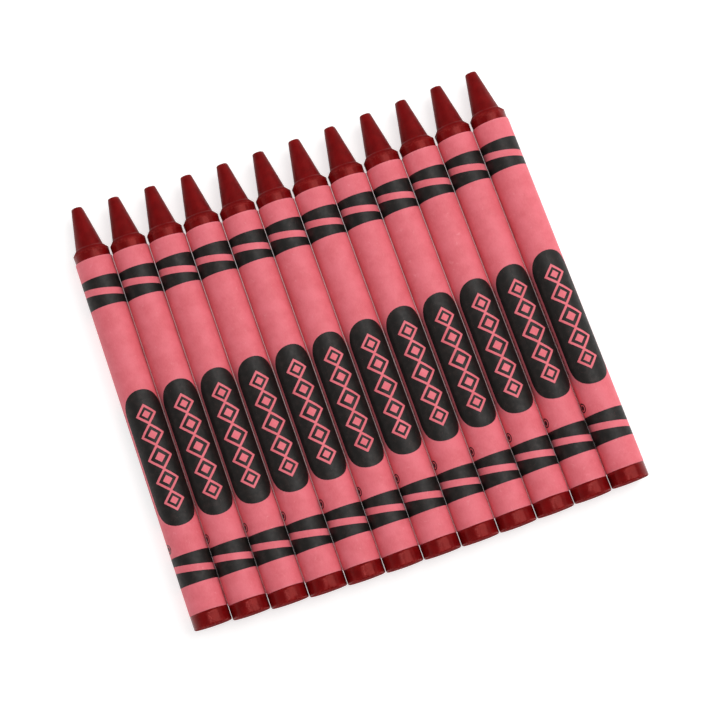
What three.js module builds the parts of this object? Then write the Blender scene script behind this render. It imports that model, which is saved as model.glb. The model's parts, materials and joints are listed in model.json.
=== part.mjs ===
// A set of twelve wax crayons lying side by side, tips towards +Y, on the plane z = 0.
// Each crayon is a moulded wax stick inside a wound paper label. All sizes are in millimetres.

import * as THREE from 'three';

// The row
const COUNT = 12;
const SIDE_GAP = 0.03; // between neighbouring labels at their wide ends
const FAN = THREE.MathUtils.degToRad(0.165); // each crayon is turned this much more than the last
const BOW = 1.35; // how far the middle crayons sit behind the outer ones
const SKEW = 0.7; // how far the last crayon sits behind the middle of the row, and the first ahead

// The wax stick, measured from its flat butt (y = 0) to its tip (y = LENGTH)
const LENGTH = 92;
const BUTT_DIAMETER = 7.84;
const BUTT_EDGE = 0.3;
const COLLAR_DIAMETER = 7.56; // where the long side ends, at the label's front edge
const LIP_DIAMETER = 7.66; // the collar widens again to this at the shoulder
const SHOULDER_LENGTH = 1;
const CONE_LENGTH = 8.9;
const CONE_DIAMETER = 5.9;
const TIP_DIAMETER = 2.35;
const TIP_EDGE = 0.3;

// The paper label, two turns of thin paper with a film of glue under it
const BARE_BUTT = 3.1; // wax left bare behind the label
const BARE_COLLAR = 1.9; // wax left bare between the label and the shoulder
const LABEL_WALL = 0.14;
const GLUE_FILM = 0.03;

const FACETS = 28; // a multiple of four, so a corner faces down and one faces each neighbour

const lip = LENGTH - CONE_LENGTH - SHOULDER_LENGTH;
const labelStart = BARE_BUTT;
const labelEnd = lip - BARE_COLLAR;

const waxMaterial = new THREE.MeshStandardMaterial({ color: 0x8c1018, roughness: 0.42, metalness: 0 });
const paperMaterial = new THREE.MeshStandardMaterial({ color: 0xe4707c, roughness: 0.85, metalness: 0 });

// Radius of the stick's long side, which narrows evenly from butt to collar as the mould does
function waxRadius(y) {
  return THREE.MathUtils.lerp(BUTT_DIAMETER, COLLAR_DIAMETER, y / labelEnd) / 2;
}

function labelRadius(y) {
  return waxRadius(y) + GLUE_FILM + LABEL_WALL;
}

// A lathe turns about Y, which is the crayon's own axis
function turned(profile) {
  const points = profile.map(([radius, y]) => new THREE.Vector2(radius, y));
  return new THREE.LatheGeometry(points, FACETS);
}

function waxGeometry() {
  return turned([
    [0, 0],
    [waxRadius(0) - BUTT_EDGE, 0],
    [waxRadius(BUTT_EDGE), BUTT_EDGE],
    [waxRadius(labelEnd), labelEnd],
    [LIP_DIAMETER / 2, lip],
    [CONE_DIAMETER / 2, lip + SHOULDER_LENGTH],
    [TIP_DIAMETER / 2, LENGTH - TIP_EDGE],
    [TIP_DIAMETER / 2 - TIP_EDGE, LENGTH],
    [0, LENGTH],
  ]);
}

// A closed ring profile: up the outside, then down the inside
function labelGeometry() {
  const inner = (y) => waxRadius(y) + GLUE_FILM;
  return turned([
    [inner(labelStart), labelStart],
    [labelRadius(labelStart), labelStart],
    [labelRadius(labelEnd), labelEnd],
    [inner(labelEnd), labelEnd],
    [inner(labelStart), labelStart],
  ]);
}

const labelSlope = Math.atan((labelRadius(0) - labelRadius(labelEnd)) / labelEnd);

// Tips converge a little, so neighbouring labels come closest at their wide ends
const pitch = 2 * labelRadius(labelStart) + SIDE_GAP + labelStart * FAN;
const middle = (COUNT - 1) / 2;

// Turned nose-down by its label's slope, a crayon touches the plane along the whole label
const lift = labelRadius(0) * Math.cos(labelSlope);

const set = new THREE.Group();

for (let i = 0; i < COUNT; i += 1) {
  const number = String(i + 1).padStart(2, '0');
  const fromMiddle = i - middle;
  const share = fromMiddle / middle; // -1 at the first crayon, 1 at the last

  const wax = new THREE.Mesh(waxGeometry(), waxMaterial);
  wax.name = `wax_${number}`;

  const label = new THREE.Mesh(labelGeometry(), paperMaterial);
  label.name = `label_${number}`;

  const crayon = new THREE.Group();
  crayon.rotation.order = 'ZYX';
  crayon.rotation.set(-labelSlope, 0, fromMiddle * FAN);
  crayon.position.set(fromMiddle * pitch, BOW * share ** 2 - SKEW * share, lift);
  crayon.add(wax, label);
  set.add(crayon);
}

// The origin is under the middle of the whole set
const extent = new THREE.Box3().setFromObject(set, true);
set.position.x = -(extent.min.x + extent.max.x) / 2;
set.position.y = -(extent.min.y + extent.max.y) / 2;

export default set;
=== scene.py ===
"""Twelve red wax crayons lying side by side, each wound with a printed paper label.

Lengths are in millimetres until a mesh is finished. On a crayon, y runs from its butt to its tip, x points
right and z up, and an angle round it is counted from its top towards the right."""

import json
import math
import random

import bpy
from mathutils import Matrix, Vector, noise
from mathutils.geometry import delaunay_2d_cdt


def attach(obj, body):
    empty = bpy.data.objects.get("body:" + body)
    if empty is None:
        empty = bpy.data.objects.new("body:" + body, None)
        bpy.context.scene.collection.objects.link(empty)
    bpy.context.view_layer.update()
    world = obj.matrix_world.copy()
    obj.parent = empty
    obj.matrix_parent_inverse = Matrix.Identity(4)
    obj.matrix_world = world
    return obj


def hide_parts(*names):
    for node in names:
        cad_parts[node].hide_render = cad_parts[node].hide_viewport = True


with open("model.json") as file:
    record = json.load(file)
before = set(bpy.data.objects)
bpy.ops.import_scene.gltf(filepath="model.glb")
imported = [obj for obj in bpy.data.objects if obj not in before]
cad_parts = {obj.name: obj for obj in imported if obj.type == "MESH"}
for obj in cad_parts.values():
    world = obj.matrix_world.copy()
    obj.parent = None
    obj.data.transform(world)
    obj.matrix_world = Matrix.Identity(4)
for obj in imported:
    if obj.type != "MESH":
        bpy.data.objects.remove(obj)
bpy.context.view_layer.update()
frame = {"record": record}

MM = 0.001
TURN = 2 * math.pi
TINY = 1e-4  # Lengths below this count as nothing.

# The wax stick.
LENGTH = 92.0
BUTT_RADIUS = 3.92
COLLAR_RADIUS = 3.78
LIP_RADIUS = 3.83
LIP_Y = 82.1
LIP_ROUNDING = 0.22
SHOULDER_LENGTH = 1.0
SHOULDER_ROUNDING = 0.18
CONE_RADIUS = 2.95
TIP_RADIUS = 1.175
TIP_ROUNDING = 0.33
BARE_BUTT_RADIUS = 4.05
BUTT_ROUNDING = 0.34
DISH_RADIUS = 3.2
DISH_DEPTH = 0.07
STEP_LENGTH = 0.1
WAX_SEGMENTS = 96
WAX_STEP = 0.45
WORN_EDGES = (0.1, LIP_Y - 0.1, LENGTH - 0.15)
NICKS = 14
FLAT_END = 0.1  # Wax this close to the butt, or half this close to the tip, is on a flat end.
FACE_RADIUS = 3.4  # Inside this the butt face is hardly touched.
TUCK = 0.6  # How far the finer outline goes on under the label at each end.

# The label: two turns of paper wound on the stick.
LABEL_REAR = 3.1
LABEL_FRONT = 80.2
LABEL_LENGTH = LABEL_FRONT - LABEL_REAR
PAPER = 0.07
GLUE = 0.03
TURN_STEP = 0.1
SEAM_ANGLE = math.radians(100)
SEAM_RAMP = math.radians(40)
COLUMNS = 72
RIM_ROWS = (0.25, 0.5, 0.9, 1.5, 2.4)  # Rows of points, closer together towards each rim.
ROW_STEP = 3.0
NEAREST = 0.004  # Points of the print closer than this become one, so no sliver is left between them.

# The print on the unrolled label: u runs round the stick, v back from the front rim.
PRINT_RADIUS = 4.0
GIRTH = TURN * PRINT_RADIUS
RIGHT = SEAM_ANGLE * PRINT_RADIUS
LEFT = RIGHT - GIRTH
DRIFT = 0.25
BAND_HEIGHT = 6.35
BAND_CENTRES = (7.4, 67.9)
STRIPE_WIDTH = 1.45
STRIPE_SLANT = 0.75
PANEL_ANGLE = math.radians(11)
PANEL_CENTRE = 44.2
PANEL_WIDTH = 9.7
PANEL_LENGTH = 29.4
DIAMONDS = (4.6, 5.2, 5.6, 5.2, 4.6)
DIAMOND_LINE = 0.48
DIAMOND_DOT = 0.2
DASH_ANGLE = math.radians(-73)
DASH_WIDTH = 0.24
DASH_LENGTH = 0.8
DASH_PITCH = 1.25
DASH_COUNT = 18
SPOT_ANGLE = math.radians(-67)
SPOT_CENTRE = 62.7
SPOT_RADIUS = 1.05
SPOT_RINGS = ((1.0, True), (0.72, False), (0.5, True))

# Colours, as linear light.
PAPER_DEEP = (0.700, 0.125, 0.156)
PAPER_LIGHT = (0.775, 0.162, 0.202)
PAPER_FIBRE = (0.810, 0.245, 0.275)
PAPER_RUBBED = (0.860, 0.370, 0.400)
PAPER_EDGE = (0.900, 0.560, 0.560)
INK_COLOUR = (0.0085, 0.0070, 0.0065)
INK_THIN = (0.034, 0.022, 0.020)
WAX_DEEP = (0.132, 0.0027, 0.0034)
WAX_LIGHT = (0.178, 0.0038, 0.0046)
WAX_BLOOM = (0.230, 0.018, 0.018)
WAX_WORN = (0.280, 0.022, 0.018)
WAX_SHINE = (1.0, 0.22, 0.20)


# ---- Camera, lights and floor ----

def look_at_set():
    """A long lens almost straight above the row, turned so that the tips lean up and to the left."""
    target = Vector((1.52, -3.57, 4.0)) * MM
    distance = 0.52
    elevation = math.radians(82)
    roll = math.radians(-19.83)
    back = Vector((0, -math.cos(elevation), math.sin(elevation)))
    level = Vector((1, 0, 0))
    up = back.cross(level)
    camera_x = level * math.cos(roll) + up * math.sin(roll)
    camera_y = up * math.cos(roll) - level * math.sin(roll)
    data = bpy.data.cameras.new("camera")
    data.lens = 125.5
    data.sensor_width = 36
    data.clip_start = 0.05
    data.clip_end = 20
    camera = bpy.data.objects.new("camera", data)
    bpy.context.scene.collection.objects.link(camera)
    turned = Matrix((camera_x, camera_y, back)).transposed().to_4x4()
    camera.matrix_world = Matrix.Translation(target + back * distance) @ turned
    bpy.context.scene.camera = camera


def soft_light(name, place, size, watts, colour):
    """An area light that looks at the middle of the row; size is its width and length in metres."""
    data = bpy.data.lights.new(name, "AREA")
    data.shape = "RECTANGLE"
    data.size, data.size_y = size
    data.energy = watts
    data.color = colour
    light = bpy.data.objects.new(name, data)
    bpy.context.scene.collection.objects.link(light)
    light.location = place
    light.rotation_euler = (-Vector(place)).to_track_quat("-Z", "Y").to_euler()
    light.visible_camera = False


def light_the_room():
    world = bpy.data.worlds.new("room")
    bpy.context.scene.world = world
    world.use_nodes = True
    tree = world.node_tree
    background = tree.nodes["Background"]
    background.inputs["Color"].default_value = (1.0, 0.99, 0.98, 1)
    height = add(tree, "SeparateXYZ", {0: add(tree, "TexCoord").outputs["Generated"]}).outputs["Z"]
    tree.links.new(remap(tree, height, 0.0, 0.75, 0.95, 0.32), background.inputs["Strength"])
    soft_light("key", (0.41, 0.12, 0.60), (0.56, 0.50), 3.0, (1.0, 0.985, 0.97))
    soft_light("overhead", (0.02, 0.02, 0.75), (0.30, 0.45), 0.6, (1.0, 1.0, 1.0))
    soft_light("strip", (0.12, 0.03, 0.68), (0.025, 0.45), 0.40, (1.0, 1.0, 1.0))
    bpy.context.scene.view_settings.view_transform = "Standard"


# ---- Materials ----

def add(tree, kind, inputs=None, **settings):
    """A shader node; an input is either a value or the socket that feeds it."""
    made = tree.nodes.new("ShaderNode" + kind)
    for name, value in settings.items():
        setattr(made, name, value)
    for name, value in (inputs or {}).items():
        if isinstance(value, bpy.types.NodeSocket):
            tree.links.new(value, made.inputs[name])
        else:
            made.inputs[name].default_value = value
    return made


def new_material(name):
    """A material with its shader, and the object's own coordinates in millimetres."""
    material = bpy.data.materials.new(name)
    material.use_nodes = True
    tree = material.node_tree
    shader = tree.nodes["Principled BSDF"]
    place = add(tree, "TexCoord").outputs["Object"]
    millimetres = add(tree, "VectorMath", {0: place, 1: (1000, 1000, 1000)}, operation="MULTIPLY")
    return material, tree, shader, millimetres.outputs[0]


def stretched(tree, place, factors):
    """The same coordinates, scaled along each axis."""
    return add(tree, "VectorMath", {0: place, 1: factors}, operation="MULTIPLY").outputs[0]


def grain(tree, place, scale, detail=3.0, roughness=0.55, distortion=0.0):
    """Noise from 0 to 1, with its scale in features a millimetre."""
    inputs = {"Vector": place, "Scale": scale, "Detail": detail, "Roughness": roughness,
              "Distortion": distortion}
    return add(tree, "TexNoise", inputs).outputs["Fac"]


def remap(tree, value, low, high, to_low=0.0, to_high=1.0):
    """The value's range from low to high, brought to a new range and held there."""
    inputs = {"Value": value, "From Min": low, "From Max": high, "To Min": to_low, "To Max": to_high}
    return add(tree, "MapRange", inputs, interpolation_type="SMOOTHSTEP").outputs["Result"]


def tint(tree, amount, under, over):
    """One colour laid over another, by an amount from 0 to 1."""
    mix = add(tree, "Mix", data_type="RGBA")
    for socket, value in ((mix.inputs[0], amount), (mix.inputs[6], under), (mix.inputs[7], over)):
        if isinstance(value, bpy.types.NodeSocket):
            tree.links.new(value, socket)
        elif isinstance(value, tuple):
            socket.default_value = (*value, 1)
        else:
            socket.default_value = value
    return mix.outputs[2]


def maths(tree, operation, first, second):
    return add(tree, "Math", {0: first, 1: second}, operation=operation).outputs[0]


def bump(tree, height, depth, normal=None):
    """Relief of this depth, in millimetres."""
    inputs = {"Height": height, "Distance": depth * MM, "Strength": 1.0}
    if normal:
        inputs["Normal"] = normal
    return add(tree, "Bump", inputs).outputs[0]


def dress(tree, shader, inputs):
    """Sets or feeds the shader's inputs."""
    for name, value in inputs.items():
        if isinstance(value, bpy.types.NodeSocket):
            tree.links.new(value, shader.inputs[name])
        else:
            shader.inputs[name].default_value = value


def wear(tree):
    """How worn each place on the mesh is, from 0 to 1."""
    return add(tree, "Attribute", attribute_name="worn").outputs["Fac"]


def paper_colour(tree, place):
    """Coloured paper: cloudy, flecked with fibres, rubbed pale in small places and along its edges."""
    clouds = remap(tree, grain(tree, place, 0.28, 4), 0.3, 0.7)
    colour = tint(tree, clouds, PAPER_DEEP, PAPER_LIGHT)
    fibres = remap(tree, grain(tree, stretched(tree, place, (1, 0.35, 1)), 5.0, 4, 0.7), 0.35, 0.65)
    colour = tint(tree, maths(tree, "MULTIPLY", fibres, 0.22), colour, PAPER_FIBRE)
    rubbed = remap(tree, grain(tree, place, 0.9, 4, 0.62, 0.6), 0.60, 0.76)
    colour = tint(tree, maths(tree, "MULTIPLY", rubbed, 0.30), colour, PAPER_RUBBED)
    return tint(tree, maths(tree, "MULTIPLY", wear(tree), 0.05), colour, PAPER_EDGE)


def paper_relief(tree, place):
    fibres = bump(tree, grain(tree, stretched(tree, place, (1, 0.4, 1)), 7.0, 5, 0.7), 0.012)
    return bump(tree, grain(tree, place, 0.6, 3), 0.03, fibres)


def make_paper():
    material, tree, shader, place = new_material("label_paper")
    rough = remap(tree, grain(tree, place, 1.7, 4), 0.3, 0.7, 0.50, 0.66)
    dress(tree, shader, {"Base Color": paper_colour(tree, place), "Roughness": rough,
                         "Specular IOR Level": 0.28, "Sheen Weight": 0.03, "Sheen Roughness": 0.4,
                         "Normal": paper_relief(tree, place)})
    return material


def make_ink():
    """Printed black on the same paper: smoother, a little uneven, with the paper showing in pinholes."""
    material, tree, shader, place = new_material("label_ink")
    uneven = remap(tree, grain(tree, place, 0.8, 4, 0.6), 0.42, 0.78, 0.0, 0.55)
    colour = tint(tree, uneven, INK_COLOUR, INK_THIN)
    holes = remap(tree, grain(tree, place, 9.0, 3, 0.6), 0.70, 0.76, 0.0, 0.5)
    colour = tint(tree, holes, colour, PAPER_LIGHT)
    colour = tint(tree, maths(tree, "MULTIPLY", wear(tree), 0.3), colour, PAPER_DEEP)
    rough = remap(tree, grain(tree, place, 1.3, 4), 0.3, 0.7, 0.42, 0.56)
    dress(tree, shader, {"Base Color": colour, "Roughness": rough, "Specular IOR Level": 0.26,
                         "Normal": paper_relief(tree, place)})
    return material


def make_wax():
    """Moulded wax: deep and slightly clear, drawn lengthways, hazed in patches and rubbed on its edges.
    Its sheen fades where the wax turns away, so its red stays deep up to its outline."""
    material, tree, shader, place = new_material("red_wax")
    clouds = remap(tree, grain(tree, place, 0.5, 4), 0.3, 0.7)
    colour = tint(tree, clouds, WAX_DEEP, WAX_LIGHT)
    haze = remap(tree, grain(tree, place, 1.1, 5, 0.65, 0.4), 0.52, 0.78, 0.0, 0.16)
    colour = tint(tree, haze, colour, WAX_BLOOM)
    nicks = remap(tree, grain(tree, place, 2.6, 4, 0.7), 0.46, 0.6)
    rubbed = maths(tree, "MULTIPLY", nicks, wear(tree))
    colour = tint(tree, maths(tree, "MULTIPLY", rubbed, 0.55), colour, WAX_WORN)
    rough = remap(tree, grain(tree, place, 1.9, 4, 0.6), 0.3, 0.7, 0.15, 0.24)
    rough = maths(tree, "ADD", rough, maths(tree, "MULTIPLY", rubbed, 0.15))
    dull = add(tree, "Attribute", attribute_name="dull").outputs["Fac"]
    rough = maths(tree, "ADD", rough, maths(tree, "MULTIPLY", dull, 0.5))
    turning = add(tree, "LayerWeight", {"Blend": 0.5}).outputs["Facing"]
    gloss = maths(tree, "MULTIPLY", remap(tree, dull, 0.0, 1.0, 0.42, 0.04),
                  remap(tree, turning, 0.45, 0.9, 1.0, 0.25))
    drawn = bump(tree, grain(tree, stretched(tree, place, (1, 0.1, 1)), 2.0, 2), 0.004)
    skin = bump(tree, grain(tree, place, 1.6, 2, 0.4), 0.0012, drawn)
    swell = bump(tree, grain(tree, place, 0.7, 2), 0.03, skin)
    dress(tree, shader, {"Base Color": colour, "Roughness": rough, "Specular IOR Level": gloss,
                         "Specular Tint": (*WAX_SHINE, 1),
                         "Subsurface Weight": 0.12, "Subsurface Radius": (1.0, 0.15, 0.12),
                         "Subsurface Scale": 0.6 * MM, "Normal": swell})
    return material


def make_floor():
    material, tree, shader, _ = new_material("floor_white")
    dress(tree, shader, {"Base Color": (0.62, 0.62, 0.62, 1), "Roughness": 0.9,
                         "Specular IOR Level": 0.1, "Emission Color": (1, 1, 1, 1),
                         "Emission Strength": 0.60})
    return material


# ---- Wax stick ----

def rounded(corners):
    """The outline through corners of (y, radius, rounding), each turned on an arc of its own rounding."""
    path = []
    for index, (y, radius, rounding) in enumerate(corners):
        here = Vector((y, radius))
        if not rounding:
            path.append(here)
            continue
        back = (Vector(corners[index - 1][:2]) - here).normalized()
        ahead = (Vector(corners[index + 1][:2]) - here).normalized()
        half = back.angle(ahead) / 2
        centre = here + (back + ahead).normalized() * (rounding / math.sin(half))
        start = here + back * (rounding / math.tan(half)) - centre
        end = here + ahead * (rounding / math.tan(half)) - centre
        sweep = math.atan2(start.x * end.y - start.y * end.x, start.dot(end))
        steps = max(3, round(abs(sweep) / math.radians(9)))
        for step in range(steps + 1):
            path.append(centre + Matrix.Rotation(sweep * step / steps, 2) @ start)
    return path


def stepped(path, longest):
    """The same outline, with no stretch longer than this."""
    fine = [path[0]]
    for start, end in zip(path, path[1:]):
        pieces = max(1, math.ceil((end - start).length / longest))
        fine += [start.lerp(end, piece / pieces) for piece in range(1, pieces + 1)]
    return fine


def wax_radius(y):
    """The stick under its label, a little thicker at the butt."""
    return BUTT_RADIUS + (COLLAR_RADIUS - BUTT_RADIUS) * y / LABEL_FRONT


def wax_outline():
    """From the middle of the butt face to the middle of the tip, and straight on under the label."""
    rear, front = wax_radius(LABEL_REAR), wax_radius(LABEL_FRONT)
    butt = rounded([(DISH_DEPTH, 0, 0), (DISH_DEPTH * 0.8, DISH_RADIUS / 2, 0), (0, DISH_RADIUS, 0),
                    (0, BARE_BUTT_RADIUS, BUTT_ROUNDING), (LABEL_REAR - STEP_LENGTH, BARE_BUTT_RADIUS, 0),
                    (LABEL_REAR, rear, 0), (LABEL_REAR + TUCK, rear, 0)])
    point = rounded([(LABEL_FRONT - TUCK, front, 0), (LABEL_FRONT, front, 0),
                     (LIP_Y, LIP_RADIUS, LIP_ROUNDING),
                     (LIP_Y + SHOULDER_LENGTH, CONE_RADIUS, SHOULDER_ROUNDING),
                     (LENGTH, TIP_RADIUS, TIP_ROUNDING), (LENGTH, 0, 0)])
    return stepped(butt, WAX_STEP) + stepped(point, WAX_STEP)


def bell(distance, width):
    return math.exp(-(distance / width) ** 2)


def dullness(y):
    """How matt the mould leaves the wax: the flat ends and the shoulder most, the cone half."""
    if y < FLAT_END or y > LENGTH - FLAT_END / 2:
        return 1.0
    cone = 0.5 if y > LIP_Y + SHOULDER_LENGTH else 0.0
    return max(cone, bell(y - LIP_Y - 0.4 * SHOULDER_LENGTH, 0.6))


def hand_wear(number):
    """How far hands have pushed the wax in or out at each place: soft dents, and nicks on its edges."""
    chance = random.Random(40 + number)
    nicks = [(chance.choice(WORN_EDGES) + chance.uniform(-0.1, 0.2), chance.uniform(0, TURN),
              chance.uniform(0.03, 0.09), chance.uniform(0.25, 0.5)) for _ in range(NICKS)]
    swell = Vector((7.0 * number, 0, 0))
    ripple = Vector((0, 0, 5.0 * number))

    def push(spot, angle, radius):
        out = 0.018 * noise.noise(spot * 0.45 + swell) + 0.007 * noise.noise(spot * 1.6 + ripple)
        for nick_y, nick_angle, depth, width in nicks:
            across = radius * abs(math.remainder(angle - nick_angle, TURN))
            along = abs(spot.y - nick_y)
            if max(across, along) < 3 * width:
                out -= depth * bell(math.hypot(across, along), width)
        return out * min(1.0, radius)

    return push


def lathe_faces(rings):
    """A closed lathe's faces, over a middle point, rings of WAX_SEGMENTS points and a middle point."""
    faces = []
    last = 1 + rings * WAX_SEGMENTS
    top = last - WAX_SEGMENTS
    for segment in range(WAX_SEGMENTS):
        beside = (segment + 1) % WAX_SEGMENTS
        faces.append((0, 1 + beside, 1 + segment))
        for low in range(1, top, WAX_SEGMENTS):
            high = low + WAX_SEGMENTS
            faces.append((low + segment, low + beside, high + beside, high + segment))
        faces.append((top + segment, top + beside, last))
    return faces


def wax_mesh(number, to_row, material):
    """The stick as one closed lathe, marked with where it is worn and where it is dull."""
    push = hand_wear(number)
    outline = wax_outline()
    local, worn = [], []
    for y, radius in outline:
        if radius < TINY:
            local.append(Vector((0, y, 0)))
            worn.append(0.1)
            continue
        bare = not LABEL_REAR <= y <= LABEL_FRONT
        face = y < 2 * FLAT_END and radius < FACE_RADIUS
        ring_wear = 0.1 if face else max(bell(y - edge, 0.4) for edge in WORN_EDGES)
        for segment in range(WAX_SEGMENTS):
            angle = TURN * segment / WAX_SEGMENTS
            across = Vector((math.sin(angle), 0, math.cos(angle)))
            spot = across * radius + Vector((0, y, 0))
            local.append(spot + across * push(spot, angle, radius) if bare else spot)
            worn.append(ring_wear)
    mesh = bpy.data.meshes.new(f"wax_stick_{number:02d}")
    mesh.from_pydata([to_row @ point for point in local], [], lathe_faces(len(outline) - 2))
    mesh.materials.append(material)
    mesh.shade_smooth()
    mark(mesh, "worn", worn)
    mark(mesh, "dull", [dullness(point.y) for point in local])
    return mesh


def mark(mesh, name, values):
    """A number for each point of the mesh, which its material reads."""
    mesh.attributes.new(name, "FLOAT", "POINT").data.foreach_set("value", values)


# ---- Printed label ----

def disc(u, v, radius, steps=36):
    return [(u + radius * math.cos(TURN * step / steps), v + radius * math.sin(TURN * step / steps))
            for step in range(steps)]


def bar(u, v, width, length, steps=20):
    """A bar along the stick with round ends."""
    radius = width / 2
    reach = length / 2 - radius
    ends = []
    for turn, middle in ((0, v + reach), (math.pi, v - reach)):
        ends += [(u + radius * math.cos(turn + math.pi * step / steps),
                  middle + radius * math.sin(turn + math.pi * step / steps))
                 for step in range(steps + 1)]
    return ends


def drift(u):
    """The print runs slightly off square, so it misses itself by DRIFT where the paper meets."""
    return DRIFT * ((u - LEFT) / GIRTH - 0.5)


def hoop(v, slant, width, steps=120):
    """A stripe right round the label, leaning over by its slant."""
    edge = [LEFT + GIRTH * step / steps for step in range(steps + 1)]
    middle = [v + drift(u) + slant * math.sin(u / PRINT_RADIUS) for u in edge]
    above = [(u, centre - width / 2) for u, centre in zip(edge, middle)]
    below = [(u, centre + width / 2) for u, centre in zip(edge, middle)]
    return above + below[::-1]


def diamond_row(u, v):
    """A plain row of diamonds that meet at their points, each an outline with a small one inside."""
    pitch = [(one + two) / 2 - DIAMOND_LINE for one, two in zip(DIAMONDS, DIAMONDS[1:])]
    start = v - sum(pitch) / 2
    shapes = []
    for index, size in enumerate(DIAMONDS):
        centre = start + sum(pitch[:index])
        inside = size / 2 - DIAMOND_LINE * math.sqrt(2)
        shapes.append((disc(u, centre, size / 2, 4), False))
        shapes.append((disc(u, centre, inside, 4), True))
        shapes.append((disc(u, centre, size * DIAMOND_DOT, 4), False))
    return shapes


def bands():
    shapes = []
    for centre in BAND_CENTRES:
        shapes.append((hoop(centre, 0, BAND_HEIGHT, 1), True))
        shapes.append((hoop(centre, STRIPE_SLANT, STRIPE_WIDTH), False))
    return shapes


def panel(u):
    v = PANEL_CENTRE + drift(u)
    return [(bar(u, v, PANEL_WIDTH, PANEL_LENGTH), True), *diamond_row(u, v)]


def dash_column(u):
    first = PANEL_CENTRE + drift(u) - DASH_PITCH * (DASH_COUNT - 1) / 2
    return [(bar(u, first + DASH_PITCH * dash, DASH_WIDTH, DASH_LENGTH, 4), True)
            for dash in range(DASH_COUNT)]


def ringed_spot(u):
    v = SPOT_CENTRE + drift(u)
    return [(disc(u, v, SPOT_RADIUS * share, 24), ink) for share, ink in SPOT_RINGS]


def print_shapes():
    """The print in the order it is laid down: outlines, each with True where it is ink."""
    front = PANEL_ANGLE * PRINT_RADIUS
    return [*bands(), *panel(front), *panel(front - GIRTH / 2),
            *dash_column(DASH_ANGLE * PRINT_RADIUS), *ringed_spot(SPOT_ANGLE * PRINT_RADIUS)]


def unrolled():
    """The flat label in triangles that follow the print: its points, triangles and which are ink."""
    points, lines, outlines, inks = [], [], [], []

    def rule(start, end):
        """A line that the triangles follow, which carries no print."""
        lines.append((len(points), len(points) + 1))
        points.extend((start, end))

    front, rear = TURN_STEP, LABEL_LENGTH - TURN_STEP
    for column in range(COLUMNS + 1):
        u = LEFT + GIRTH * column / COLUMNS
        rule((u, front), (u, rear))
    middle = [RIM_ROWS[-1] + ROW_STEP * row for row in range(1, int(LABEL_LENGTH / ROW_STEP) - 1)]
    for v in (front, *RIM_ROWS, *middle, *[LABEL_LENGTH - row for row in RIM_ROWS], rear):
        rule((LEFT, v), (RIGHT, v))
    for outline, ink in print_shapes():
        area = sum(a[0] * b[1] - b[0] * a[1] for a, b in zip(outline, outline[1:] + outline[:1]))
        start = len(points)
        points.extend(outline if area > 0 else outline[::-1])
        outlines.append(list(range(start, len(points))))
        inks.append(ink)
    flat, _, triangles, _, _, origins = delaunay_2d_cdt(
        [Vector(point) for point in points], lines, outlines, 0, NEAREST, True)
    inked = [int(bool(origin) and inks[max(origin)]) for origin in origins]
    return [tuple(point) for point in flat], triangles, inked


class Paper:
    """The two turns of paper on one crayon: where each place of the unrolled print lies."""

    def __init__(self, number):
        chance = random.Random(90 + number)
        self.phase = [chance.uniform(0, TURN) for _ in range(3)]
        self.cloud = 9 * number

    def lift(self, angle, v):
        """How far it stands off its true round: only along its top, and most at its rims."""
        clear = max(0.0, math.cos(angle)) ** 2
        rim = bell(v, 1.1) + bell(LABEL_LENGTH - v, 1.1)
        frill = 0.5 + 0.5 * math.sin(3 * angle + self.phase[0]) * math.cos(angle + self.phase[1])
        spot = Vector((3 * math.cos(angle), 3 * math.sin(angle), 0.22 * v + self.cloud))
        return clear * (0.035 * rim * frill + 0.016 * noise.noise(spot))

    def at(self, angle, v, height):
        """A place in the paper, its height counted from the glue on the wax."""
        skew = 0.03 * math.sin(2 * angle + self.phase[2])
        y = LABEL_FRONT - v + skew * (bell(v, 1.5) - bell(LABEL_LENGTH - v, 1.5))
        radius = wax_radius(y) + GLUE + height
        if height:
            radius += self.lift(angle, v)
        return Vector((radius * math.sin(angle), y, radius * math.cos(angle)))

    def face_at(self, u, v):
        """A place on the outermost turn, which climbs over the edge of the turn below it."""
        angle = u / PRINT_RADIUS
        climb = min(1.0, (u - LEFT) / (SEAM_RAMP * PRINT_RADIUS))
        climb = climb * climb * (3 - 2 * climb)
        return self.at(angle, v, PAPER + PAPER * climb)

    def normal_at(self, u, v):
        """Which way the outermost turn faces."""
        step = 0.02
        across = self.face_at(min(u + step, RIGHT), v) - self.face_at(max(u - step, LEFT), v)
        along = self.face_at(u, v + step) - self.face_at(u, v - step)
        return along.cross(across).normalized()


def points_on(points, axis, place):
    """The points on one line across the flat label, in their order along it."""
    chain = [index for index, point in enumerate(points) if abs(point[axis] - place) < TINY]
    return sorted(chain, key=lambda index: points[index][1 - axis])


def zip_rings(one, two, flip=False):
    """The faces between two rings that match point for point, and may share some."""
    loops = [(one[step], one[step + 1], two[step + 1], two[step]) for step in range(len(one) - 1)]
    corners = [list(dict.fromkeys(loop)) for loop in loops]
    return [loop[::-1] for loop in corners] if flip else corners


def zip_seam(points, one, two):
    """The faces between two chains that start and end together, whatever points each has between."""
    faces = []
    a = b = 0
    while a + 1 < len(one) or b + 1 < len(two):
        first_is_done = a + 1 == len(one)
        second_is_done = b + 1 == len(two)
        if second_is_done or not first_is_done and points[one[a + 1]][1] <= points[two[b + 1]][1]:
            faces.append((one[a], one[a + 1], two[b]))
            a += 1
        else:
            faces.append((one[a], two[b + 1], two[b]))
            b += 1
    return faces


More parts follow.
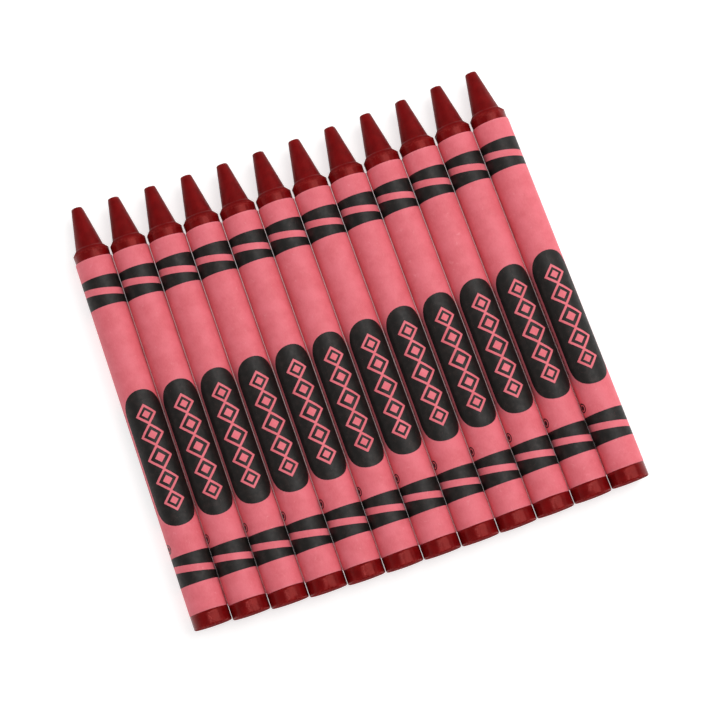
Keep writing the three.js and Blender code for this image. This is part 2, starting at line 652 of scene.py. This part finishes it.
def label_mesh(number, to_row, flat, materials):
    """The label as one closed solid: the printed face, the seam, stepped rims and the inside."""
    points, triangles, inked = flat
    paper = Paper(number)
    solid = [paper.face_at(u, v) for u, v in points]
    faces = [triangle[::-1] for triangle in triangles]

    def ring(v, height, first=()):
        """A closed ring of points at one depth, which may start at a point of the printed face."""
        loop = list(first)
        for column in range(len(loop), COLUMNS):
            loop.append(len(solid))
            solid.append(paper.at((LEFT + GIRTH * column / COLUMNS) / PRINT_RADIUS, v, height))
        return [*loop, loop[0]]

    inside = []
    for rim_v, end_v, flip in ((TURN_STEP, 0, False), (LABEL_LENGTH - TURN_STEP, LABEL_LENGTH, True)):
        rim = points_on(points, 1, rim_v)
        ledge = ring(rim_v, PAPER, rim[:1])
        lip = ring(end_v, PAPER)
        inside.append(ring(end_v, 0))
        for one, two in ((rim, ledge), (ledge, lip), (lip, inside[-1])):
            faces += zip_rings(one, two, flip)
    faces += zip_rings(*inside)
    faces += zip_seam(points, points_on(points, 0, RIGHT), points_on(points, 0, LEFT))

    worn = [max(bell(v - TURN_STEP, 0.25), bell(LABEL_LENGTH - TURN_STEP - v, 0.25),
                0.7 * bell(RIGHT - u, 0.15)) for u, v in points]
    worn += [0.8] * (len(solid) - len(points))
    mesh = bpy.data.meshes.new(f"printed_label_{number:02d}")
    mesh.from_pydata([to_row @ point for point in solid], [], faces)
    for material in materials:
        mesh.materials.append(material)
    mesh.polygons.foreach_set("material_index", inked + [0] * (len(faces) - len(inked)))
    mesh.shade_smooth()
    mark(mesh, "worn", worn)
    turn = to_row.to_3x3().normalized()
    shown = [turn @ paper.normal_at(u, v) for u, v in points]
    normals = []
    for polygon in mesh.polygons:
        printed = polygon.index < len(triangles)
        normals += [shown[vertex] if printed else polygon.normal.copy() for vertex in polygon.vertices]
    mesh.normals_split_custom_set(normals)
    return mesh


# ---- The row ----

def crayon_frames():
    """Each crayon's number, and the matrix that takes its millimetres to the row, from its butt face."""
    for mount in frame["record"]["mounts"]:
        along = -Vector(mount["axis"]).normalized()
        right = along.cross(Vector((0, 0, 1))).normalized()
        up = right.cross(along)
        turned = Matrix((right, along, up)).transposed().to_4x4()
        place = Matrix.Translation(Vector(mount["pos_m"]))
        yield int(mount["name"][-2:]), place @ turned @ Matrix.Scale(MM, 4)


def place_piece(mesh, body, node):
    piece = bpy.data.objects.new(mesh.name, mesh)
    bpy.context.scene.collection.objects.link(piece)
    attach(piece, body)
    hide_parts(node)


def lay_floor():
    size = 3.0
    corners = [(-size, -size, 0), (size, -size, 0), (size, size, 0), (-size, size, 0)]
    mesh = bpy.data.meshes.new("floor")
    mesh.from_pydata(corners, [], [(0, 1, 2, 3)])
    mesh.materials.append(make_floor())
    floor = bpy.data.objects.new("floor", mesh)
    bpy.context.scene.collection.objects.link(floor)


look_at_set()
light_the_room()
lay_floor()
wax = make_wax()
label_materials = (make_paper(), make_ink())
flat_label = unrolled()
for number, to_row in crayon_frames():
    stick = wax_mesh(number, to_row, wax)
    place_piece(stick, f"crayon_{number:02d}", f"wax_{number:02d}")
    label = label_mesh(number, to_row, flat_label, label_materials)
    place_piece(label, f"crayon_{number:02d}", f"label_{number:02d}")
